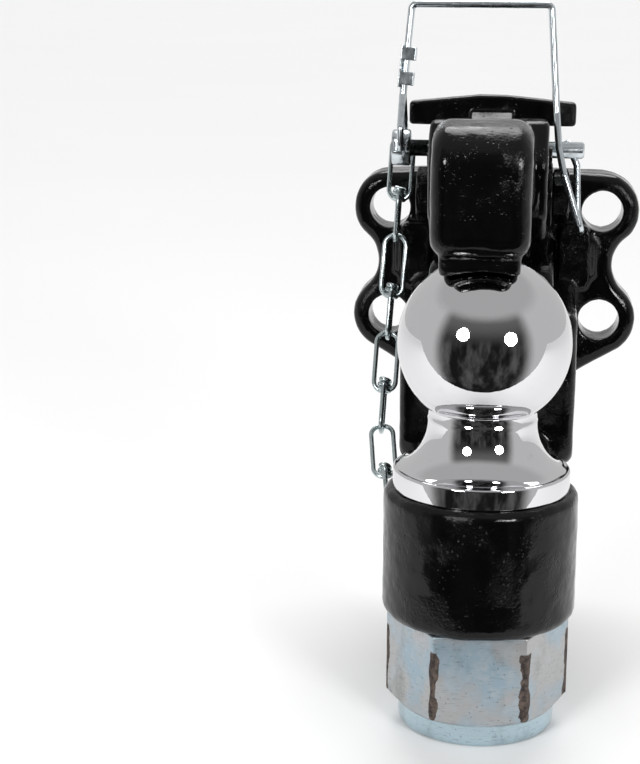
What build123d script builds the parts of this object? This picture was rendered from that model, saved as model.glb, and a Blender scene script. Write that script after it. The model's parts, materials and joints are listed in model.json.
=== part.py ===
from build123d import *
import os
from math import atan2, cos, pi, radians, sin, sqrt, tan

# Combination pintle hook with a trailer ball, millimetres.
# Y = 0 is the rear mounting face, the trailer side is -Y, Z is up.
# The origin is the centre of the four mounting bolt holes.

# --- driving dimensions: ball and its nut
ball_diameter = 58.74
ball_setback = 152.4
ball_drop = 4.5
neck_diameter = 37.0
neck_length = 8.0
flange_diameter = 60.5
flange_thickness = 4.8
flange_drop = 50.2
shank_diameter = 34.9
nut_across_flats = 54.8
nut_hex_height = 32.0
nut_turn = 4.0
collar_diameter = 54.3
collar_height = 7.7
insert_height = 5.0
insert_wall = 4.0
ball_recess = 2.0

# --- driving dimensions: hook forging
bolt_span_x = 85.725
bolt_span_z = 44.45
bolt_hole_diameter = 16.5
plate_thickness = 19.05
ear_radius = 14.8
waist_half_width = 47.5
plate_slope = 2.5
skirt_drop = 9.0
plate_edge_round = 4.0
pad_rise = 5.0
boss_diameter = 66.5
boss_height = 45.0
column_width = 64.8
column_front = 98.0
column_top = -5.0
column_drop = 65.0
arm_width = 46.0
lug_width = 26.4
lug_radius = 15.0

# --- driving dimensions: jaw, its bolt and the latch
pivot_setback = 43.0
pivot_height = 31.0
pivot_bolt_diameter = 12.7
jaw_width = 44.0
jaw_offset = -2.0
nose_width = 32.8
nose_front = 174.4
nose_top = 69.5
nose_bottom = 26.0
nose_round = 6.0
pad_width = 26.8
pad_bottom = 19.5
pad_round = 2.0
crown_top = 61.5
latch_setback = 61.0
latch_height = 48.0
latch_pin_diameter = 6.35
latch_width = 16.0
handle_width = 65.0
handle_height = 10.5
handle_depth = 7.5
handle_back = 29.0
handle_low = 57.5
spring_wire = 1.0

# --- driving dimensions: lock pin, bail and chain
pin_diameter = 6.35
pin_setback = 47.0
pin_height = 49.5
pin_tip = 35.8
pin_head_diameter = 14.0
pin_head_outer = 38.0
pin_head_length = 7.1
bail_wire = 2.7
bail_height = 54.6
bail_lean = 3.0
bail_taper = 5.0
bail_knee = 20.0
bail_top_right = 21.6
chain_wire = 1.9
link_width = 10.5
link_length = 41.0
chain_hang = 10.5
eye_radius = 4.25
eye_wire = 1.2
chain_leans = [(0.0, 3.5), (12.0, 3.0), (30.0, 1.0), (52.0, -7.5)]

# --- clearances
run_gap = 0.05
side_gap = 0.3
hang_gap = 0.48
link_gap = 0.25

# --- derived places
ball_z = -ball_drop
boss_top = ball_z - flange_drop
boss_bottom = boss_top - boss_height
ball_centre = (0, -ball_setback, ball_z)
slot_half = lug_width / 2 + side_gap
pin_head_middle = pin_head_outer - pin_head_length / 2
hook_y = -pin_setback + chain_hang


def at_ball(shape):
    return Pos(*ball_centre) * shape


def rod(x0, x1, y, z, radius):
    return Pos((x0 + x1) / 2, y, z) * Rot(0, 90, 0) * Cylinder(radius, x1 - x0)


def profile(points, width, middle=0.0):
    """Side outline in (y, z), extruded to a width centred on X."""
    face = make_face(Polyline(*[(0, y, z) for y, z in points], close=True))
    return Pos(middle - width / 2, 0, 0) * extrude(face, amount=width, dir=(1, 0, 0))


def rounded_profile(points, width, side_round):
    """Closed side outline of (y, z, corner radius) points, with its two side rims rounded."""
    path = FilletPolyline(*[(y, z) for y, z, _ in points], radius=[r for _, _, r in points], close=True)
    flat = Plane.YZ * make_face(path)
    solid = Pos(-width / 2, 0, 0) * extrude(flat, amount=width, dir=(1, 0, 0))
    ends = solid.faces().sort_by(Axis.X)
    return fillet(ends[0].edges() + ends[-1].edges(), side_round)


def wire_path(points, radius, bend):
    path = FilletPolyline(*points, radius=bend)
    start = Plane(path @ 0, z_dir=path % 0)
    return sweep(start * Circle(radius), path=path)


def plate_outline():
    half_x = bolt_span_x / 2
    half_z = bolt_span_z / 2
    reach = waist_half_width - half_x
    waist_radius = (reach**2 + half_z**2 - ear_radius**2) / (2 * (ear_radius - reach))
    waist = atan2(half_z, reach + waist_radius)
    slope = radians(plate_slope)
    fall = atan2(ear_radius, skirt_drop)
    upper = Vector(half_x, half_z)
    lower = Vector(half_x, -half_z)
    skirt = Vector(half_x - ear_radius, -half_z - skirt_drop)

    def rim(centre, angle):
        return centre + Vector(cos(angle), sin(angle)) * ear_radius

    def turn(centre, start, end):
        return ThreePointArc(rim(centre, start), rim(centre, (start + end) / 2), rim(centre, end))

    shoulder = rim(upper, pi / 2 - slope)
    top = Vector(0, shoulder.Y + shoulder.X * tan(slope))
    right = [
        Line(top, shoulder),
        turn(upper, pi / 2 - slope, -waist),
        ThreePointArc(rim(upper, -waist), (waist_half_width, 0), rim(lower, waist)),
        turn(lower, waist, -fall),
        Line(rim(lower, -fall), rim(skirt, -fall)),
        turn(skirt, -fall, -pi / 2),
        Line(rim(skirt, -pi / 2), (0, rim(skirt, -pi / 2).Y)),
    ]
    left = [mirror(edge, about=Plane.YZ) for edge in right]
    return make_face(right + left)


def mounting_plate():
    on_face = Plane(origin=(0, 0, 0), x_dir=(1, 0, 0), z_dir=(0, -1, 0))
    plate = extrude(on_face * plate_outline(), amount=plate_thickness)
    front = plate.faces().sort_by(Axis.Y)[0]
    plate = fillet(front.edges(), plate_edge_round)
    for sx in (-1, 1):
        for sz in (-1, 1):
            hole = Cylinder(bolt_hole_diameter / 2, 3 * plate_thickness)
            plate -= Pos(sx * bolt_span_x / 2, 0, sz * bolt_span_z / 2) * Rot(90, 0, 0) * hole
    return plate


def hitch_body():
    root_y = -plate_thickness / 2
    body = mounting_plate()
    column = [(root_y, column_top, 1), (-column_front, column_top, 6), (-column_front, -column_drop, 8),
              (-column_front + 30, -column_drop + 6, 30), (root_y, -bolt_span_z / 2 - ear_radius, 1)]
    body += rounded_profile(column, column_width, 4)
    shoulder = [(root_y, 12, 1), (-78, 9, 8), (-84, -20, 1), (root_y, -20, 1)]
    body += rounded_profile(shoulder, jaw_width + 3, 3)
    lug = [(root_y, 20), (-26, 36), (-pivot_setback, pivot_height), (-62, 18), (-66, 0), (root_y, 0)]
    body += profile(lug, lug_width)
    body += rod(-lug_width / 2, lug_width / 2, -pivot_setback, pivot_height, lug_radius)
    arm = [(-40, -42, 2), (-column_front - 8, -51, 14), (-ball_setback + 22, boss_top - 4, 2),
           (-ball_setback + 22, boss_bottom + 5, 2), (-column_front - 4, boss_bottom + 6, 30), (-34, -50, 2)]
    body += rounded_profile(arm, arm_width, 6)
    boss = Cylinder(boss_diameter / 2, boss_height)
    boss = fillet(boss.edges().sort_by(Axis.Z)[-1], 3)
    boss = fillet(boss.edges().group_by(Axis.Z)[0], 4)
    body += Pos(0, -ball_setback, (boss_top + boss_bottom) / 2) * boss
    for side in (-1, 1):
        pad = fillet(Box(12, 2 * pad_rise, 26).edges().filter_by(Axis.Y), 3)
        body += Pos(side * 32, -plate_thickness, 4) * pad
        step = fillet(Box(8, pad_rise, 15).edges().filter_by(Axis.Y), 2)
        body += Pos(side * 36.5, -plate_thickness, 3) * step
    bore = Cylinder(shank_diameter / 2 + run_gap, boss_height + 2)
    body -= Pos(0, -ball_setback, (boss_top + boss_bottom) / 2) * bore
    body -= rod(-slot_half, slot_half, -pivot_setback, pivot_height, pivot_bolt_diameter / 2 + run_gap)
    body -= chain_eye_hole()
    return body


def tow_ball():
    radius = ball_diameter / 2
    neck = neck_diameter / 2
    neck_z = -sqrt(radius**2 - neck**2)
    cove_z = neck_z - neck_length
    rim_z = -flange_drop + flange_thickness + 1.5
    rim = flange_diameter / 2
    shank = shank_diameter / 2
    end_z = boss_bottom - ball_z - nut_hex_height - collar_height + ball_recess
    outline = [
        Line((0, end_z), (0, radius)),
        ThreePointArc((0, radius), (radius, 0), (neck, neck_z)),
        Line((neck, neck_z), (neck, cove_z)),
        ThreePointArc((neck, cove_z), (neck + 3.2, cove_z - 6.5), (rim - 1, rim_z)),
        Line((rim - 1, rim_z), (rim, rim_z - 1)),
        Line((rim, rim_z - 1), (rim, -flange_drop + 0.6)),
        Line((rim, -flange_drop + 0.6), (rim - 0.6, -flange_drop)),
        Line((rim - 0.6, -flange_drop), (shank, -flange_drop)),
        Line((shank, -flange_drop), (shank, end_z + 1.5)),
        Line((shank, end_z + 1.5), (shank - 1.5, end_z)),
        Line((shank - 1.5, end_z), (0, end_z)),
    ]
    return at_ball(revolve(Plane.XZ * make_face(outline), Axis.Z))


def hexagon(across_flats, height, ends=2):
    """Hexagonal prism standing on the XY plane, its corners chamfered at the low end or at both ends."""
    prism = extrude(RegularPolygon(across_flats / sqrt(3), 6), amount=height)
    corner = across_flats / sqrt(3)
    blank = Cylinder(corner, height, align=(Align.CENTER, Align.CENTER, Align.MIN))
    rims = blank.edges().filter_by(GeomType.CIRCLE).sort_by(Axis.Z)[:ends]
    blank = chamfer(rims, 0.5 * (corner - across_flats / 2), 1.3 * (corner - across_flats / 2))
    return prism & blank


def ball_nut():
    total = nut_hex_height + collar_height
    low = boss_bottom - total
    nut = Pos(0, 0, collar_height) * Rot(0, 0, nut_turn) * hexagon(nut_across_flats, nut_hex_height, 1)
    collar = Cylinder(collar_diameter / 2, collar_height + 2, align=(Align.CENTER, Align.CENTER, Align.MIN))
    collar = fillet(collar.edges().sort_by(Axis.Z)[0], 2.5)
    bore = shank_diameter / 2 + run_gap
    nut = nut + collar - Pos(0, 0, total / 2) * Cylinder(bore, total)
    seat = Cylinder(bore + insert_wall, insert_height, align=(Align.CENTER, Align.CENTER, Align.MIN))
    mouth = Cylinder(bore + insert_wall - 1.5, 2 * ball_recess)
    nut = nut - Pos(0, 0, ball_recess) * seat - mouth
    return Pos(0, -ball_setback, low) * nut


def nut_insert():
    low = boss_bottom - nut_hex_height - collar_height + ball_recess
    bore = shank_diameter / 2 + run_gap
    ring = Cylinder(bore + insert_wall, insert_height) - Cylinder(bore, insert_height)
    return Pos(0, -ball_setback, low + insert_height / 2) * ring


def pivot_bolt():
    cheek = jaw_width / 2 + 0.1
    shank = rod(-cheek - 1, cheek + 9.2, -pivot_setback, pivot_height, pivot_bolt_diameter / 2)
    head = Rot(0, -90, 0) * hexagon(19.05, 6.4)
    return shank + Pos(-cheek, -pivot_setback, pivot_height) * head


def pivot_washer():
    cheek = jaw_width / 2 + 0.1
    ring = rod(cheek, cheek + 2, -pivot_setback, pivot_height, 13)
    return ring - rod(cheek - 1, cheek + 3, -pivot_setback, pivot_height, pivot_bolt_diameter / 2 + run_gap)


def pivot_nut():
    face = jaw_width / 2 + 2.1
    nut = Pos(face, -pivot_setback, pivot_height) * Rot(0, 90, 0) * hexagon(19.05, 6.5)
    return nut - rod(face - 1, face + 9, -pivot_setback, pivot_height, pivot_bolt_diameter / 2 + run_gap)


def upper_jaw():
    beam = [(-66, 60, 1), (-108, 66, 40), (-nose_front + 22, nose_top + 0.5, 30),
            (-nose_front, nose_top - 2, 13), (-nose_front, nose_bottom, 8), (-132, nose_bottom + 1, 9),
            (-118, 35, 10), (-96, 34, 14), (-80, 25, 9), (-66, 24, 1)]
    jaw = rounded_profile(beam, nose_width, nose_round)
    crown = [(-33, 46, 4), (-33.5, 53.5, 2), (-42, 56, 2.5), (-46, crown_top, 4), (-78, crown_top + 1.5, 5),
             (-88, 48, 9), (-86, 28, 6), (-70, 17, 12), (-46, 14.5, 14), (-31, 24, 8)]
    jaw += rounded_profile(crown, jaw_width, 2.2)
    pad = [(-nose_front + 6, nose_bottom + 6, 1), (-nose_front + 6, pad_bottom, 4), (-132, pad_bottom, 4),
           (-124, nose_bottom + 6, 1)]
    jaw += rounded_profile(pad, pad_width, pad_round)
    jaw -= Pos(-jaw_offset, 0, 0) * at_ball(Sphere(ball_diameter / 2 + 1))
    jaw -= profile([(-68.5, 0), (-68.5, 55.5), (0, 55.5), (0, 0)], 2 * slot_half, -jaw_offset)
    jaw -= profile([(-68.5, 50), (-68.5, 80), (0, 80), (0, 50)], latch_width + 1)
    half = jaw_width
    jaw -= rod(-half, half, -pivot_setback, pivot_height, pivot_bolt_diameter / 2 + run_gap)
    jaw -= rod(-half, half, -latch_setback, latch_height, latch_pin_diameter / 2 + run_gap)
    jaw -= rod(-half, half, -pin_setback, pin_height, pin_diameter / 2 + run_gap)
    return jaw


def latch_pin():
    cheek = jaw_width / 2
    pin = rod(-cheek, cheek, -latch_setback, latch_height, latch_pin_diameter / 2)
    pin += rod(-cheek - 1.5, -cheek, -latch_setback, latch_height, 4.5)
    return pin + rod(cheek, cheek + 1.5, -latch_setback, latch_height, 4.5)


def latch_lever():
    over_pin = pin_height + pin_diameter / 2 + 0.8
    web = [(-latch_setback, latch_height + 6.5), (-49, 58.5), (-40, 63), (-30, 64), (-30, 58),
           (-37, 47.2), (-42, 47.5), (-42, over_pin), (-52, over_pin), (-52, latch_height - 5),
           (-latch_setback, latch_height - 6)]
    lever = profile(web, latch_width)
    lever += rod(-latch_width / 2, latch_width / 2, -latch_setback, latch_height, 6.3)
    half = handle_width / 2
    low = handle_low
    bar = Polygon((-half, low), (-half, low + handle_height - 1.5), (-5, low + handle_height + 1.2),
                  (5, low + handle_height + 1.2), (half, low + handle_height - 1.5), (half, low), align=None)
    bar = fillet(bar.vertices(), 1.5)
    bar = extrude(Plane(origin=(0, -handle_back, 0), x_dir=(1, 0, 0), z_dir=(0, -1, 0)) * bar, amount=-handle_depth)
    bar = fillet(bar.faces().sort_by(Axis.Y)[0].edges() + bar.faces().sort_by(Axis.Y)[-1].edges(), 1.4)
    lever += bar
    return lever - rod(-half, half, -latch_setback, latch_height, latch_pin_diameter / 2 + run_gap)


def latch_spring():
    turns = 3
    pitch = spring_wire + 0.15
    mean = latch_pin_diameter / 2 + 0.5 + spring_wire / 2
    coil = Helix(pitch=pitch, height=pitch * turns, radius=mean)
    spring = sweep(Plane(coil @ 0, z_dir=coil % 0) * Circle(spring_wire / 2), path=coil)
    start = latch_width / 2 + 0.3 + spring_wire / 2
    return Pos(start, -latch_setback, latch_height) * Rot(0, 90, 0) * spring


def lock_pin():
    inner = -pin_head_outer + pin_head_length
    pin = rod(inner, pin_tip, -pin_setback, pin_height, pin_diameter / 2)
    pin = chamfer(pin.edges().sort_by(Axis.X)[-1], 0.8)
    head = rod(-pin_head_outer, inner, -pin_setback, pin_height, pin_head_diameter / 2)
    pin += chamfer(head.edges(), 0.5)
    flat = Box(2 * pin_head_length, 4, 12)
    pin -= Pos(-pin_head_middle, -pin_setback - 7.4, pin_height + 5) * flat
    hole = Rot(90, 0, 0) * Cylinder(bail_wire / 2 + 0.1, 2 * pin_head_diameter)
    return pin - Pos(-pin_head_middle, -pin_setback, pin_height) * hole


def lean(shape):
    axis = Pos(0, -pin_setback, pin_height)
    return axis * Rot(-bail_lean, 0, 0) * axis.inverse() * shape


def wire_bail():
    x = -pin_head_middle
    y = -pin_setback
    z = pin_height
    top = z + bail_height
    beside = bail_wire + 0.1
    before = pin_diameter / 2 + bail_wire / 2 + 0.25
    back = chain_hang + 4.6
    inward = tan(radians(bail_taper))
    points = [
        (x + 18 * inward, y + beside, z + bail_knee + 18), (x, y + beside, z + bail_knee), (x, y + back, z + 8),
        (x, y + back, z), (x, y - 9, z), (x, y - 9, z + 8), (x, y, z + bail_knee),
        (x + (bail_height - bail_knee) * inward, y, top), (bail_top_right, y, top), (24.8, y - 0.5, z + 14), (26, y - before - 0.8, z + 1), (28.2, y - 11, z - 9), (35, y - 10, z - 29),
        (35.5, y - 2, z - 31), (34, y + before, z - 24), (33.3, y + before, z - 6),
        (29, y + before, z + 3.5),
    ]
    return wire_path(points, bail_wire / 2, 2.2)


def bail_clip():
    x = -pin_head_middle
    y = -pin_setback
    depth = 2 * bail_wire + 1.4
    middle = y + (bail_wire + 0.1) / 2
    clip = Pos(x - bail_wire / 2 - 0.45, middle, pin_height + 31) * Box(0.9, depth, 16)
    for height in (26.5, 36):
        band = Box(bail_wire + 3.2, depth, 5)
        clip += Pos(x + 0.7, middle, pin_height + height) * fillet(band.edges().filter_by(Axis.Z), 0.6)
    for wire_y in (y, y + bail_wire + 0.1):
        clip -= Pos(x, wire_y, pin_height + 31) * Cylinder(bail_wire / 2 + 0.01, 20)
    knee = Pos(x, y, pin_height + bail_knee)
    return knee * Rot(0, bail_taper, 0) * knee.inverse() * clip


def wire_loop(length, width):
    path = SlotOverall(length, width).wire()
    return sweep(Plane(path @ 0, z_dir=path % 0) * Circle(chain_wire / 2), path=path)


def chain_link():
    """One double loop: its top wire runs along X through the origin, its bottom wire along Y."""
    width = link_width - chain_wire
    upper = 0.60 * link_length
    lower = link_length - upper + 2.5 * chain_wire
    link = Pos(0, 0, -upper / 2) * Rot(90, 0, 0) * Rot(0, 0, 90) * wire_loop(upper, width)
    link += Pos(0, 0, -link_length + lower / 2) * Rot(0, 90, 0) * wire_loop(lower, width)
    knot = fillet(Cylinder(1.45 * chain_wire, 3.2 * chain_wire).edges(), 1)
    return link + Pos(0, 0, -upper + chain_wire / 2) * knot


def chain_places():
    top = Vector(-pin_head_middle, hook_y, pin_height + (bail_wire + chain_wire) / 2 + hang_gap)
    places = []
    for forward, outward in chain_leans:
        place = Pos(top) * Rot(-forward, 0, 0) * Rot(0, outward, 0)
        places.append(place)
        top = (place * Pos(0, 0, -link_length + chain_wire + link_gap)).position
    return places


def chain_end():
    return (chain_places()[-1] * Pos(0, 0, -link_length)).position


def chain_eye():
    end = chain_end()
    centre_x = -arm_width / 2 - eye_radius - eye_wire
    ring = Pos(centre_x, end.Y, end.Z) * Rot(90, 0, 0) * Torus(eye_radius, eye_wire)
    return ring + rod(-arm_width / 2 - eye_wire, -arm_width / 2 + 8, end.Y, end.Z, 2)


def chain_eye_hole():
    end = chain_end()
    return rod(-arm_width / 2 - 5, -arm_width / 2 + 9, end.Y, end.Z, 2 + run_gap)


jaw_pieces = {
    "pivot_bolt": pivot_bolt(),
    "pivot_washer": pivot_washer(),
    "pivot_nut": pivot_nut(),
    "upper_jaw": upper_jaw(),
    "latch_pin": latch_pin(),
    "latch_spring": latch_spring(),
    "latch_lever": latch_lever(),
    "lock_pin": lean(lock_pin()),
    "wire_bail": lean(wire_bail()),
    "bail_clip": lean(bail_clip()),
}
pieces = {
    "hitch_body": hitch_body(),
    "tow_ball": tow_ball(),
    "ball_nut": ball_nut(),
    "nut_insert": nut_insert(),
    "chain_eye": chain_eye(),
}
for number, place in enumerate(chain_places(), 1):
    jaw_pieces[f"chain_link_{number}"] = place * chain_link()
for name, piece in jaw_pieces.items():
    pieces[name] = Pos(jaw_offset, 0, 0) * piece

os.makedirs("parts", exist_ok=True)
for name, piece in pieces.items():
    export_step(piece, f"parts/{name}.step")
    print(name, len(piece.solids()), round(piece.volume), [round(v, 1) for v in piece.bounding_box().min],
          [round(v, 1) for v in piece.bounding_box().max])
print("chain tops", [tuple(round(v, 2) for v in (Pos(jaw_offset, 0, 0) * place).position) for place in chain_places()])
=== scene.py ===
import json
from math import atan2, cos, pi, radians, sin

import bmesh
import bpy
import numpy as np
from mathutils import Matrix, Vector, noise


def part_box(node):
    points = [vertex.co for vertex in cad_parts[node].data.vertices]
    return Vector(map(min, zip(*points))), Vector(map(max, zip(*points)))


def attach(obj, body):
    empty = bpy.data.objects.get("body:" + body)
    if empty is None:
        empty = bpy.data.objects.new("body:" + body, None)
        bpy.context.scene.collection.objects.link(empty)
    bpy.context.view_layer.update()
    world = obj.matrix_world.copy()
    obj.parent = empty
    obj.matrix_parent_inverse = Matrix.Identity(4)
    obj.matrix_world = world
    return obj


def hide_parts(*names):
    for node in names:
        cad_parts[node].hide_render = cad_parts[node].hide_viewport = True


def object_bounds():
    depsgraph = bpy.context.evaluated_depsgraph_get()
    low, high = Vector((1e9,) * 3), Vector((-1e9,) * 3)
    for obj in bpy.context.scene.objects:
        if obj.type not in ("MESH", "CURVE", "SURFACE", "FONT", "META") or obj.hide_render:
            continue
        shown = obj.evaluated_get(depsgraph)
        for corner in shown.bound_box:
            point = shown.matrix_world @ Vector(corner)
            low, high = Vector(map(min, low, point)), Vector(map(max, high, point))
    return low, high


# Combination pintle hook with its trailer ball, in metres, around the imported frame.

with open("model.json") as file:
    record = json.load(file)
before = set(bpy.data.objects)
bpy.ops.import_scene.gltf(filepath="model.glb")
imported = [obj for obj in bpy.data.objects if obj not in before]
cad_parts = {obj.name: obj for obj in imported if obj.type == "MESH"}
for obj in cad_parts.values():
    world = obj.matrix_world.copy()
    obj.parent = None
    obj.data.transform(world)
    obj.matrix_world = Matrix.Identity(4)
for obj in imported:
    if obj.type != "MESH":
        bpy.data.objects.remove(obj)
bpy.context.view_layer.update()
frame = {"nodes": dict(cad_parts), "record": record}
mm = 0.001
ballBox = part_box("tow_ball")
ballRadius = 29.37 * mm  # 2-5/16 in across
ballCentre = Vector((0, (ballBox[0].y + ballBox[1].y) / 2, ballBox[1].z - ballRadius))
print("frame loaded:", len(frame["nodes"]), "nodes")


class Shade:  # one node socket; arithmetic on it adds Math nodes
    def __init__(self, tree, socket=None):
        self.tree = tree
        self.socket = socket

    def make(self, kind, settings=None, inputs=None, out=0):
        node = self.tree.nodes.new(kind)
        for key, value in (settings or {}).items():
            setattr(node, key, value)
        for key, value in (inputs or {}).items():
            if isinstance(value, Shade):
                self.tree.links.new(value.socket, node.inputs[key])
            else:
                node.inputs[key].default_value = value
        return Shade(self.tree, node.outputs[out]) if node.outputs else node

    def sums(self, operation, first, second=0.0):
        return self.make("ShaderNodeMath", {"operation": operation}, {0: first, 1: second})

    def __add__(self, other):
        return self.sums("ADD", self, other)

    def __sub__(self, other):
        return self.sums("SUBTRACT", self, other)

    def __rsub__(self, other):
        return self.sums("SUBTRACT", other, self)

    def __mul__(self, other):
        return self.sums("MULTIPLY", self, other)

    def __truediv__(self, other):
        return self.sums("DIVIDE", self, other)

    def __pow__(self, other):
        return self.sums("POWER", self, other)

    __radd__ = __add__
    __rmul__ = __mul__

    def between(self, low, high):  # 0 below low, 1 above high, smooth in between
        settings = {"interpolation_type": "SMOOTHSTEP"}
        return self.make("ShaderNodeMapRange", settings, {0: self, 1: low, 2: high})

    def blend(self, first, second):  # colours, by this mask
        return self.make("ShaderNodeMix", {"data_type": "RGBA"}, {0: self, 6: first, 7: second}, 2)


def colour(red, green, blue):
    return (red, green, blue, 1)


def finish(name, paint):
    # paint(start, coords) gives the Principled inputs and a height for the bump
    material = bpy.data.materials.new(name)
    material.use_nodes = True
    tree = material.node_tree
    tree.nodes.clear()
    start = Shade(tree)
    coords = start.make("ShaderNodeTexCoord", out=3)
    inputs, height, depth = paint(start, coords)
    if height is not None:
        relief = {"Strength": 1.0, "Distance": depth, "Height": height}
        inputs["Normal"] = start.make("ShaderNodeBump", None, relief)
    shader = start.make("ShaderNodeBsdfPrincipled", None, inputs)
    start.make("ShaderNodeOutputMaterial", None, {"Surface": shader})
    return material


def clouds(start, coords, size, detail=3.0, contrast=0.5, stretch=None):
    # soft noise whose lumps are about size metres across
    where = coords
    if stretch:
        where = start.make("ShaderNodeMapping", None, {"Vector": coords, "Scale": stretch})
    inputs = {"Vector": where, "Scale": 1 / size, "Detail": detail, "Roughness": contrast}
    return start.make("ShaderNodeTexNoise", None, inputs)


def dots(start, coords, size):
    # distance from the nearest of scattered points, in cells of that size
    return start.make("ShaderNodeTexVoronoi", None, {"Vector": coords, "Scale": 1 / size})


enamelLook = {
    "peel": 3.2 * mm, "cast": 0.9 * mm, "patch": 14 * mm, "relief": 0.45 * mm,
    "pits": 2.0 * mm, "grit": 1.3 * mm, "rough": 9 * mm, "specks": 5.5 * mm, "dust": 22 * mm,
    "paint": (0.0018, 0.0018, 0.002), "dusty": (0.007, 0.007, 0.0075), "gloss": 0.10, "specular": 0.25,
}


def blackEnamel(start, coords):
    look = enamelLook
    patch = clouds(start, coords, look["patch"]).between(0.46, 0.66)
    peel = clouds(start, coords, look["peel"], 2.0)
    cast = clouds(start, coords, look["cast"], 4.0, 0.6)
    pits = 1 - dots(start, coords, look["pits"]).between(0.05, 0.25)
    grit = 1 - dots(start, coords, look["grit"]).between(0.10, 0.24)
    rough = clouds(start, coords, look["rough"], 3.0, 0.6).between(0.52, 0.66)
    specks = 1 - dots(start, coords, look["specks"]).between(0.03, 0.06)
    height = peel * 0.22 + patch * cast * 0.45 + cast * 0.06
    height = height - patch * pits * 0.40 + specks * 0.25 + rough * grit * 0.22
    dust = clouds(start, coords, look["dust"], 5.0, 0.65).between(0.55, 0.8) * 0.6
    inputs = {
        "Base Color": dust.blend(colour(*look["paint"]), colour(*look["dusty"])),
        "Roughness": patch * 0.10 + dust * 0.10 + look["gloss"],
        "Specular IOR Level": look["specular"],
    }
    return inputs, height, look["relief"]


chromeLook = {
    "haze": 9 * mm, "fine": 1.6 * mm, "specks": 4.5 * mm, "relief": 0.05 * mm,
    "bright": (0.70, 0.70, 0.715), "stained": (0.52, 0.52, 0.54), "gloss": 0.025,
}


def chromePlate(start, coords):
    look = chromeLook
    haze = clouds(start, coords, look["haze"], 4.0, 0.6)
    fine = clouds(start, coords, look["fine"], 2.0)
    specks = 1 - dots(start, coords, look["specks"]).between(0.02, 0.05)
    stain = haze.between(0.60, 0.85)
    marks = stain * 0.5 + specks * 0.4
    inputs = {
        "Base Color": marks.blend(colour(*look["bright"]), colour(*look["stained"])),
        "Metallic": 1.0,
        "Roughness": stain * 0.05 + specks * 0.2 + look["gloss"],
    }
    return inputs, haze * 0.7 + fine * 0.05, look["relief"]


nutLook = {
    "ragged": 2.2 * mm, "runs": 7 * mm, "lathe": 0.8 * mm, "sheen": 20 * mm, "mottle": 5 * mm,
    "specks": 2.6 * mm, "scuff": 4 * mm, "grime": 11 * mm, "relief": 0.35 * mm,
    "wearStart": 0.95 * mm, "wearFull": 1.35 * mm,  # past half the nut's width
    "collarTop": 7.4 * mm, "collarEdge": 8.1 * mm,  # heights over the nut's underside
    "stripLow": (8 * mm, 13 * mm), "stripHigh": (29 * mm, 37 * mm),
    "grey": (0.43, 0.43, 0.43), "blue": (0.33, 0.43, 0.50), "pale": (0.47, 0.50, 0.52),
    "collar": (0.46, 0.58, 0.64), "grimy": (0.13, 0.14, 0.135),
    "bareDark": (0.018, 0.013, 0.011), "bareBrown": (0.11, 0.080, 0.066),
}


def zincNut(start, coords):
    look = nutLook
    lo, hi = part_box("ball_nut")
    inputs = {"Vector": coords, "Location": (0, -ballCentre.y, -lo.z)}
    centred = start.make("ShaderNodeMapping", {"vector_type": "POINT"}, inputs)
    x = start.make("ShaderNodeSeparateXYZ", None, {0: centred})
    y = Shade(start.tree, x.socket.node.outputs[1])
    z = Shade(start.tree, x.socket.node.outputs[2])
    radius = (x * x + y * y) ** 0.5
    rims = clouds(start, coords, look["ragged"], 4.0, 0.7)
    run = clouds(start, coords, look["runs"], 2.0, 0.5, (1, 1, 0.6))
    # the corners stand out past the flats: worn bare there, in ragged strips, wider on one side
    wear = radius + rims * 0.9 * mm + run * 2.6 * mm + x.between(-5 * mm, 12 * mm) * 0.5 * mm
    half = (hi.x - lo.x) / 2
    corner = wear.between(half + look["wearStart"], half + look["wearFull"])
    collar = 1 - z.between(look["collarTop"], look["collarEdge"])
    rings = clouds(start, coords, look["lathe"], 3.0, 0.5, (0.02, 0.02, 1))
    span = z.between(*look["stripLow"]) * (1 - z.between(*look["stripHigh"]))
    bare = (corner * 2 * span).between(0.45, 0.75)
    sheen = clouds(start, coords, look["sheen"], 3.0, 0.55)
    mottle = clouds(start, coords, look["mottle"], 5.0, 0.65)
    specks = 1 - dots(start, coords, look["specks"]).between(0.06, 0.16)
    scuff = clouds(start, coords, look["scuff"], 5.0, 0.7, (1, 1, 9.0)).between(0.56, 0.66)
    grime = clouds(start, coords, look["grime"], 5.0, 0.7, (1, 1, 0.5)).between(0.50, 0.72)
    cool = sheen.between(0.42, 0.58).blend(colour(*look["grey"]), colour(*look["blue"]))
    base = (mottle.between(0.42, 0.68) * 0.6).blend(cool, colour(*look["pale"]))
    plated = collar.blend(base, colour(*look["collar"]))
    marked = (specks * 0.5 + scuff * 0.45 + grime * 0.35).blend(plated, colour(*look["grimy"]))
    rust = rims.between(0.35, 0.65).blend(colour(*look["bareDark"]), colour(*look["bareBrown"]))
    inputs = {
        "Base Color": bare.blend(marked, rust),
        "Metallic": 0.85 - bare * 0.6,
        "Roughness": 0.30 + mottle * 0.22 + bare * 0.3 - collar * 0.26,
    }
    height = mottle * 0.12 + rims * 0.08 - specks * 0.12 - bare * rims * 0.8 + collar * rings * 0.25
    return inputs, height, look["relief"]


def zincWire(base, low, grain):
    # drawn wire or rod: streaks run along it, with dull clouds over them
    relief = 0.08 * mm

    def paint(start, coords):
        streak = clouds(start, coords, grain, 4.0, 0.6, (1, 1, 0.35))
        cloud = clouds(start, coords, 4 * grain, 3.0)
        dull = cloud.between(0.45, 0.75)
        inputs = {
            "Base Color": dull.blend(colour(*base), colour(*[part * 0.62 for part in base])),
            "Metallic": 1.0,
            "Roughness": streak * 0.16 + dull * 0.10 + low,
        }
        return inputs, streak * 0.3 + cloud * 0.3, relief
    return paint


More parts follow.
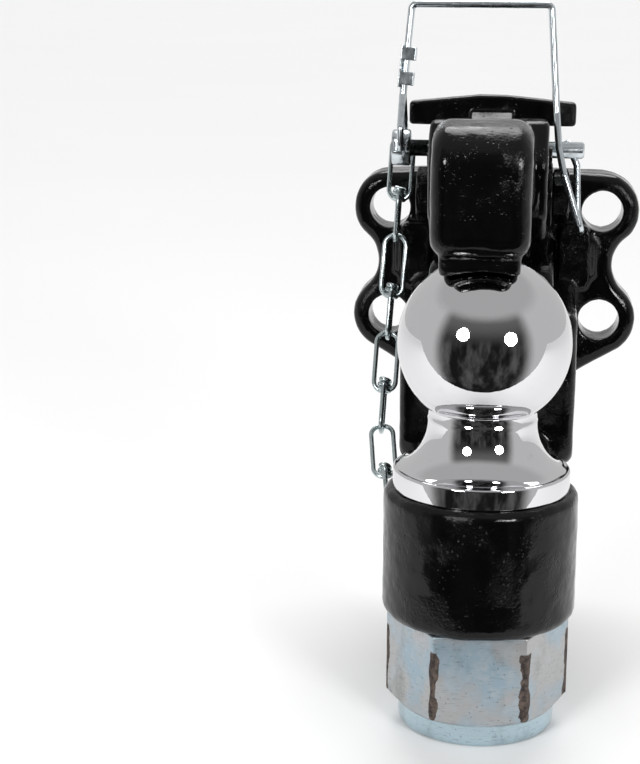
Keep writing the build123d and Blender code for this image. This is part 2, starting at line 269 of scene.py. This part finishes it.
def nylonRing(start, coords):
    cloud = clouds(start, coords, 3 * mm, 4.0)
    inputs = {
        "Base Color": cloud.blend(colour(0.58, 0.57, 0.52), colour(0.70, 0.69, 0.65)),
        "Roughness": cloud * 0.2 + 0.35,
        "Subsurface Weight": 0.1,
    }
    return inputs, cloud, 0.08 * mm


finishes = {  # what each finish is called in the pieces' tables
    "blackEnamel": finish("blackEnamel", blackEnamel),
    "chromePlate": finish("chromePlate", chromePlate),
    "zincNut": finish("zincNut", zincNut),
    "brightZinc": finish("brightZinc", zincWire((0.62, 0.67, 0.70), 0.12, 1.5 * mm)),
    "chainZinc": finish("chainZinc", zincWire((0.50, 0.56, 0.57), 0.16, 1.0 * mm)),
    "springSteel": finish("springSteel", zincWire((0.22, 0.22, 0.24), 0.22, 1.0 * mm)),
    "nylonRing": finish("nylonRing", nylonRing),
}
print("finishes made:", len(finishes))


def newPiece(name, mesh, material, body, replaced):
    piece = bpy.data.objects.new(name, mesh)
    bpy.context.scene.collection.objects.link(piece)
    piece.data.materials.clear()
    piece.data.materials.append(finishes[material])
    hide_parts(*replaced)
    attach(piece, body)
    return piece


def bodyOf(node):
    for body, members in frame["record"]["behaviour"]["bodies"].items():
        if node in members:
            return body


def evaluated(piece):
    # the finished mesh of a piece with its modifiers, as plain data
    graph = bpy.context.evaluated_depsgraph_get()
    return bpy.data.meshes.new_from_object(piece.evaluated_get(graph))


def merged(node):
    work = bmesh.new()
    work.from_mesh(frame["nodes"][node].data)
    bmesh.ops.remove_doubles(work, verts=work.verts, dist=0.002 * mm)
    mesh = bpy.data.meshes.new(node + "Merged")
    work.to_mesh(mesh)
    work.free()
    return mesh


unevenness = {"broad": 110, "fine": 260, "fineShare": 0.5}  # waves per metre over a cast face


def softened(node, voxel, smooth, relief):
    # a closed skin over the CAD node, with its edges softened and its faces slightly uneven
    holder = bpy.data.objects.new("holder", merged(node))
    bpy.context.scene.collection.objects.link(holder)
    skin = holder.modifiers.new("skin", "REMESH")
    skin.mode = "VOXEL"
    skin.voxel_size = voxel
    ease = holder.modifiers.new("ease", "SMOOTH")
    ease.factor = 0.5
    ease.iterations = smooth
    mesh = evaluated(holder)
    bpy.data.objects.remove(holder)
    if relief:
        count = len(mesh.vertices)
        places = np.zeros(count * 3, np.float32)
        normals = np.zeros(count * 3, np.float32)
        mesh.vertices.foreach_get("co", places)
        mesh.vertex_normals.foreach_get("vector", normals)
        places = places.reshape(-1, 3)
        normals = normals.reshape(-1, 3)
        broad, fine, share = unevenness.values()
        lift = np.array([
            noise.noise(Vector(p) * broad) + share * noise.noise(Vector(p) * fine)
            for p in places.tolist()
        ])
        places = places + normals * (lift[:, None] * relief)
        mesh.vertices.foreach_set("co", places.astype(np.float32).ravel())
    mesh.shade_smooth()
    return mesh


def crisp(node, width):
    # machined piece: merged, with its rims broken by a small bevel
    holder = bpy.data.objects.new("holder", merged(node))
    bpy.context.scene.collection.objects.link(holder)
    if width:
        rim = holder.modifiers.new("rim", "BEVEL")
        rim.width = width
        rim.segments = 2
        rim.limit_method = "ANGLE"
        rim.angle_limit = radians(40)
    mesh = evaluated(holder)
    bpy.data.objects.remove(holder)
    mesh.shade_smooth()
    mesh.set_sharp_from_angle(angle=radians(35))
    return mesh


castPieces = {
    # node: voxel, smoothing rounds, relief, finish, slot
    "hitch_body": (1.0 * mm, 4, 0.22 * mm, "blackEnamel", "black_enamel"),
    "upper_jaw": (0.75 * mm, 5, 0.22 * mm, "blackEnamel", "black_enamel"),
    "latch_lever": (0.45 * mm, 4, 0.10 * mm, "blackEnamel", "black_enamel"),
    "pivot_bolt": (0.35 * mm, 3, 0.05 * mm, "blackEnamel", "black_enamel"),
    "pivot_washer": (0.30 * mm, 3, 0.05 * mm, "blackEnamel", "black_enamel"),
    "pivot_nut": (0.30 * mm, 3, 0.05 * mm, "blackEnamel", "black_enamel"),
    "chain_eye": (0.20 * mm, 3, 0.05 * mm, "blackEnamel", "black_enamel"),
    "ball_nut": (0.45 * mm, 3, 0.05 * mm, "zincNut", "zinc_nut"),
    "bail_clip": (0.20 * mm, 2, 0.0, "brightZinc", "zinc_wire"),
}
for node, (voxel, smooth, relief, material, slot) in castPieces.items():
    newPiece(node + ".skin", softened(node, voxel, smooth, relief), material, bodyOf(node), [node])
print("forged and cast pieces skinned")

machinedPieces = {
    # node: bevel, finish, slot
    "lock_pin": (0.0, "brightZinc", "zinc_pin"),
    "latch_pin": (0.3 * mm, "blackEnamel", "black_enamel"),
    "wire_bail": (0.0, "brightZinc", "zinc_wire"),
    "latch_spring": (0.0, "springSteel", "spring_steel"),
    "nut_insert": (0.4 * mm, "nylonRing", "nylon_ring"),
}
for node, (width, material, slot) in machinedPieces.items():
    newPiece(node + ".shape", crisp(node, width), material, bodyOf(node), [node])
print("machined pieces refined")


ballSizes = {
    "radius": ballRadius, "neck": 18.6 * mm, "neckTop": 23.0 * mm,
    "coveTop": 27.0 * mm, "coveDrop": 16.0 * mm, "lip": 29.4 * mm, "lipRound": 0.9 * mm,
    "flange": 30.25 * mm, "flangeDrop": 50.2 * mm, "flangeRound": 0.5 * mm,
    "shank": 17.45 * mm, "plainShank": 47 * mm, "endChamfer": 1.5 * mm,
    "pitch": 2.1 * mm, "threadDepth": 1.1 * mm,
    "steps": 224,
}


def arc(start, end, count, point):
    return [point(start + (end - start) * i / count) for i in range(count + 1)]


def ballOutline():
    s = ballSizes
    low = atan2(s["neckTop"], s["neck"])
    neckDrop = s["neckTop"]
    outline = arc(pi / 2, -low, 60, lambda a: (max(0.0, s["radius"] * cos(a)), s["radius"] * sin(a)))
    outline += [  # two fine rings under the ball
        (s["neck"] - 0.20 * mm, -neckDrop - 0.4 * mm),
        (s["neck"] - 0.15 * mm, -neckDrop - 2.2 * mm),
        (s["neck"] + 0.10 * mm, -neckDrop - 2.6 * mm),
    ]
    reach = s["lip"] - s["neck"]
    coveTop, coveDrop = s["coveTop"], s["coveDrop"]
    cove = arc(0.0, pi / 2, 40, lambda a: (s["lip"] - reach * cos(a) ** 1.25, -coveTop - coveDrop * sin(a)))
    outline += cove[:-1]
    lipDrop = coveTop + coveDrop
    outline += rimArc(pi / 2, 0.0, 8, s["lipRound"], s["flange"], -lipDrop - s["lipRound"])
    outline += rimArc(0.0, -pi / 2, 5, s["flangeRound"], s["flange"], -s["flangeDrop"] + s["flangeRound"])
    return outline


def rimArc(start, end, count, bend, edge, height):
    # a rounded rim of radius bend inside the edge, its middle at that height
    return arc(start, end, count, lambda a: (edge - bend + bend * cos(a), height + bend * sin(a)))


def shankOutline(end):
    # the plain shank, then the thread as fine rounded ridges down to the chamfered end
    s = ballSizes
    shank, pitch, chamfer = s["shank"], s["pitch"], s["endChamfer"]
    start = -s["flangeDrop"] - s["plainShank"]
    points = [(shank, -s["flangeDrop"]), (shank, start)]
    turns = int((start - end - chamfer) / pitch)
    for turn in range(turns):
        z = start - turn * pitch
        points += [
            (shank, z - 0.15 * pitch),
            (shank - s["threadDepth"], z - 0.5 * pitch),
            (shank, z - 0.85 * pitch),
        ]
    return points + [(shank, end + chamfer), (shank - chamfer, end), (0.0, end)]


def turned(name, outline, centre, steps):
    rings = len(outline)
    places = []
    faces = []
    for r, z in outline:
        for i in range(steps):
            a = 2 * pi * i / steps
            places.append((centre.x + r * sin(a), centre.y - r * cos(a), centre.z + z))
    for k in range(rings - 1):
        for i in range(steps):
            j = (i + 1) % steps
            faces.append((k * steps + i, (k + 1) * steps + i, (k + 1) * steps + j, k * steps + j))
    work = bmesh.new()
    points = [work.verts.new(p) for p in places]
    for face in faces:
        work.faces.new([points[i] for i in face])
    bmesh.ops.remove_doubles(work, verts=work.verts, dist=0.001 * mm)
    bmesh.ops.recalc_face_normals(work, faces=work.faces)
    mesh = bpy.data.meshes.new(name)
    work.to_mesh(mesh)
    work.free()
    mesh.shade_smooth()
    mesh.set_sharp_from_angle(angle=radians(38))
    return mesh


outline = ballOutline() + shankOutline(ballBox[0].z - ballCentre.z)
ballShape = turned("ball", outline, ballCentre, ballSizes["steps"])
newPiece("tow_ball.turned", ballShape, "chromePlate", bodyOf("tow_ball"), ["tow_ball"])
print("ball turned")


chainSizes = {  # the names are the node group's own sockets
    "Loop Width": 8.6 * mm, "Upper Loop": 24.6 * mm, "Lower Loop": 19.6 * mm, "Lower Start": 21.4 * mm,
    "Wire": 1.9 * mm, "Wraps": 2.4,
}


def linkTree():
    # one link: two crossed loops of wire, with a wrapped knot between them
    tree = bpy.data.node_groups.new("doubleLoopLink", "GeometryNodeTree")
    face = tree.interface
    face.new_socket("Geometry", in_out="OUTPUT", socket_type="NodeSocketGeometry")
    face.new_socket("Geometry", in_out="INPUT", socket_type="NodeSocketGeometry")
    for name, value in chainSizes.items():
        face.new_socket(name, in_out="INPUT", socket_type="NodeSocketFloat").default_value = value
    face.new_socket("Finish", in_out="INPUT", socket_type="NodeSocketMaterial")
    given = tree.nodes.new("NodeGroupInput")

    def put(kind, settings=None, **links):
        node = tree.nodes.new(kind)
        for key, value in (settings or {}).items():
            setattr(node, key, value)
        for key, value in links.items():
            socket = node.inputs[key.replace("_", " ")]
            if isinstance(value, bpy.types.NodeSocket):
                tree.links.new(value, socket)
            else:
                socket.default_value = value
        return node

    def maths(operation, first, second):
        node = tree.nodes.new("ShaderNodeMath")
        node.operation = operation
        for index, value in enumerate((first, second)):
            if isinstance(value, bpy.types.NodeSocket):
                tree.links.new(value, node.inputs[index])
            else:
                node.inputs[index].default_value = value
        return node.outputs[0]

    wireRadius = maths("MULTIPLY", given.outputs["Wire"], 0.5)
    wire = put("GeometryNodeCurvePrimitiveCircle", Resolution=14, Radius=wireRadius)

    def swept(curve, turn, drop):
        place = put("ShaderNodeCombineXYZ", Z=drop)
        moved = put("GeometryNodeTransform", Geometry=curve, Translation=place.outputs[0], Rotation=turn)
        path, profile = moved.outputs[0], wire.outputs[0]
        tube = put("GeometryNodeCurveToMesh", Curve=path, Profile_Curve=profile, Fill_Caps=True)
        return tube.outputs[0]

    def loop(length, drop, turn):
        box = put("GeometryNodeCurvePrimitiveQuadrilateral", Width=given.outputs["Loop Width"], Height=length)
        half = maths("MULTIPLY", given.outputs["Loop Width"], 0.49)
        soft = put("GeometryNodeFilletCurve", {"mode": "POLY"}, Curve=box.outputs[0], Count=10, Radius=half)
        return swept(soft.outputs[0], turn, drop)

    highDrop = maths("MULTIPLY", given.outputs["Upper Loop"], -0.5)
    upper = loop(given.outputs["Upper Loop"], highDrop, (pi / 2, 0, 0))
    lowDrop = maths("MULTIPLY", given.outputs["Lower Loop"], -0.5)
    lowPlace = maths("SUBTRACT", lowDrop, given.outputs["Lower Start"])
    lower = loop(given.outputs["Lower Loop"], lowPlace, (pi / 2, 0, pi / 2))
    wrapRadius = maths("MULTIPLY", given.outputs["Wire"], 0.98)
    climb = maths("MULTIPLY", maths("MULTIPLY", given.outputs["Wire"], 1.02), given.outputs["Wraps"])
    coil = put(
        "GeometryNodeCurveSpiral", Resolution=22, Rotations=given.outputs["Wraps"],
        Start_Radius=wrapRadius, End_Radius=wrapRadius, Height=climb,
    )
    knotDrop = maths("MULTIPLY", given.outputs["Upper Loop"], -0.93)
    knotPlace = maths("SUBTRACT", knotDrop, maths("MULTIPLY", climb, 0.35))
    knot = swept(coil.outputs[0], (0, 0, 0), knotPlace)
    whole = put("GeometryNodeJoinGeometry")
    for part in (upper, lower, knot):
        tree.links.new(part, whole.inputs[0])
    smooth = put("GeometryNodeSetShadeSmooth", Geometry=whole.outputs[0])
    turn = put("GeometryNodeInputNamedAttribute", {"data_type": "FLOAT_VECTOR"}, Name="turn")
    spin = put("FunctionNodeEulerToRotation", Euler=turn.outputs[0])
    spread = put(
        "GeometryNodeInstanceOnPoints", Points=given.outputs["Geometry"],
        Instance=smooth.outputs[0], Rotation=spin.outputs[0],
    )
    real = put("GeometryNodeRealizeInstances", Geometry=spread.outputs[0])
    coated = put("GeometryNodeSetMaterial", Geometry=real.outputs[0], Material=given.outputs["Finish"])
    result = tree.nodes.new("NodeGroupOutput")
    tree.links.new(coated.outputs[0], result.inputs[0])
    return tree


def linkPlace(node):
    # the top wire's middle and the turn of a link, read from the CAD link's own vertices
    points = np.array([tuple(v.co) for v in frame["nodes"][node].data.vertices])
    middle = points.mean(axis=0)
    down = np.linalg.svd(points - middle, full_matrices=False)[2][0]
    down = down if down[2] < 0 else -down
    along = (points - middle) @ down
    upper = points[along < along.min() + 0.5 * np.ptp(along)] - middle
    flat = upper - np.outer(upper @ down, down)
    across = np.linalg.svd(flat, full_matrices=False)[2][0]
    across = across if across[0] > 0 else -across
    deep = np.cross(-down, across)
    wide = (points - middle) @ across
    thick = (points - middle) @ deep
    centre = middle + across * (wide.max() + wide.min()) / 2 + deep * (thick.max() + thick.min()) / 2
    top = centre + down * (((points - centre) @ down).min() + chainSizes["Wire"] / 2)
    turn = Matrix((across, deep, -down)).transposed().to_euler()
    return Vector(top), turn


chainTree = linkTree()
for number in range(1, 5):
    node = f"chain_link_{number}"
    top, turn = linkPlace(node)
    seed = bpy.data.meshes.new(node + "Point")
    seed.from_pydata([tuple(top)], [], [])
    seed.attributes.new("turn", "FLOAT_VECTOR", "POINT").data[0].vector = tuple(turn)
    holder = bpy.data.objects.new("holder", seed)
    bpy.context.scene.collection.objects.link(holder)
    links = holder.modifiers.new("links", "NODES")
    links.node_group = chainTree
    for item in chainTree.interface.items_tree:
        if item.in_out == "INPUT" and item.name in chainSizes:
            links[item.identifier] = chainSizes[item.name]
        if item.name == "Finish":
            links[item.identifier] = finishes["chainZinc"]
    mesh = evaluated(holder)
    holder.modifiers.remove(links)
    bpy.data.objects.remove(holder)
    newPiece(node + ".loops", mesh, "chainZinc", bodyOf(node), [node])
print("chain links made")


room = {
    "floorFront": 0.26, "floorReach": 30.0, "floorShade": 0.85,  # the floor stops short in front of the ball
    "white": 0.96, "side": 0.62, "ceiling": 0.50,  # brightness seen directly, at the sides and overhead
    "dark": 0.012, "wall": 0.14, "clutter": 0.10,  # brightness of the room the ball mirrors in front
}


def paleFloor(start, coords):
    cloud = clouds(start, coords, 0.4, 3.0)
    shade = room["floorShade"]
    worn = shade * 0.98
    inputs = {
        "Base Color": cloud.blend(colour(shade, shade, shade), colour(worn, worn, worn)),
        "Roughness": cloud * 0.1 + 0.7,
    }
    return inputs, None, 0


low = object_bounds()[0].z
reach = room["floorReach"]
front = -room["floorFront"]
corners = [(-reach, front, low), (reach, front, low), (reach, reach, low), (-reach, reach, low)]
floorMesh = bpy.data.meshes.new("floor")
floorMesh.from_pydata(corners, [], [(0, 1, 2, 3)])
floor = bpy.data.objects.new("floor", floorMesh)
bpy.context.scene.collection.objects.link(floor)
floorMesh.materials.append(finish("paleFloor", paleFloor))


def studioWorld():
    world = bpy.data.worlds.new("studio")
    world.use_nodes = True
    tree = world.node_tree
    tree.nodes.clear()
    start = Shade(tree)
    direction = start.make("ShaderNodeTexCoord", out=0)
    x = start.make("ShaderNodeSeparateXYZ", None, {0: direction})
    y = Shade(tree, x.socket.node.outputs[1])
    z = Shade(tree, x.socket.node.outputs[2])
    level = (x * x + y * y + 0.0001) ** 0.5
    ahead = ((0 - y) / level).between(0.30, 0.66)
    above = z.between(0.55, 0.75)
    clutter = clouds(start, direction, 0.45, 3.0, 0.55, (1.6, 1.6, 0.5)).between(0.42, 0.72)
    things = clutter * (1 - z.between(0.0, 0.30)) * room["clutter"]
    wall = z.between(0.05, 0.62) * room["wall"] + things + room["dark"]
    front = above * room["ceiling"] + (1 - above) * wall
    side = above * room["ceiling"] + (1 - above) * room["side"]
    light = ahead * front + (1 - ahead) * side
    seen = start.make("ShaderNodeLightPath")
    shown = seen * room["white"] + (1 - seen) * light
    background = start.make("ShaderNodeBackground", None, {"Color": shown, "Strength": 1.0})
    start.make("ShaderNodeOutputWorld", None, {"Surface": background})
    bpy.context.scene.world = world


studioWorld()

lamps = {
    # bearing from straight ahead of the ball, height angle, distance, radius, power
    "left": (-28, 19, 1.2, 0.17, 8),
    "right": (36, 14, 1.2, 0.17, 8),
}
for name, (bearing, rise, distance, radius, power) in lamps.items():
    light = bpy.data.lights.new(name, "AREA")
    light.shape = "DISK"
    light.size = 2 * radius
    light.energy = power
    lamp = bpy.data.objects.new(name, light)
    bpy.context.scene.collection.objects.link(lamp)
    a, e = radians(bearing), radians(rise)
    way = Vector((sin(a) * cos(e), -cos(a) * cos(e), sin(e)))
    lamp.location = ballCentre + way * distance
    lamp.rotation_euler = way.to_track_quat("Z", "Y").to_euler()

# even light on the whole floor, from behind and above
sunlight = {"softness": 40, "power": 2.1, "from": (0, 0.55, 0.83)}
overhead = bpy.data.lights.new("overhead", "SUN")
overhead.angle = radians(sunlight["softness"])
overhead.energy = sunlight["power"]
overheadLamp = bpy.data.objects.new("overhead", overhead)
overheadLamp.rotation_euler = Vector(sunlight["from"]).to_track_quat("Z", "Y").to_euler()
bpy.context.scene.collection.objects.link(overheadLamp)

cameraSizes = {
    "lens": 84.5, "sensor": 36, "place": (13.5 * mm, -744.7 * mm, 120.8 * mm),
    "pitch": 13.29, "yaw": -6.66, "roll": 0.27,  # degrees down, turned left and tilted
}


def shootFrom(sizes):
    camera = bpy.data.cameras.new("camera")
    camera.lens = sizes["lens"]
    camera.sensor_width = sizes["sensor"]
    camera.clip_start = 0.01
    camera.clip_end = 200
    holder = bpy.data.objects.new("camera", camera)
    bpy.context.scene.collection.objects.link(holder)
    holder.location = sizes["place"]
    yaw = Matrix.Rotation(-radians(sizes["yaw"]), 4, "Z")
    pitch = Matrix.Rotation(pi / 2 - radians(sizes["pitch"]), 4, "X")
    roll = Matrix.Rotation(radians(sizes["roll"]), 4, "Z")
    holder.rotation_euler = (yaw @ pitch @ roll).to_euler()
    bpy.context.scene.camera = holder


shootFrom(cameraSizes)
bpy.context.scene.view_settings.view_transform = "Standard"
print("room and camera set")
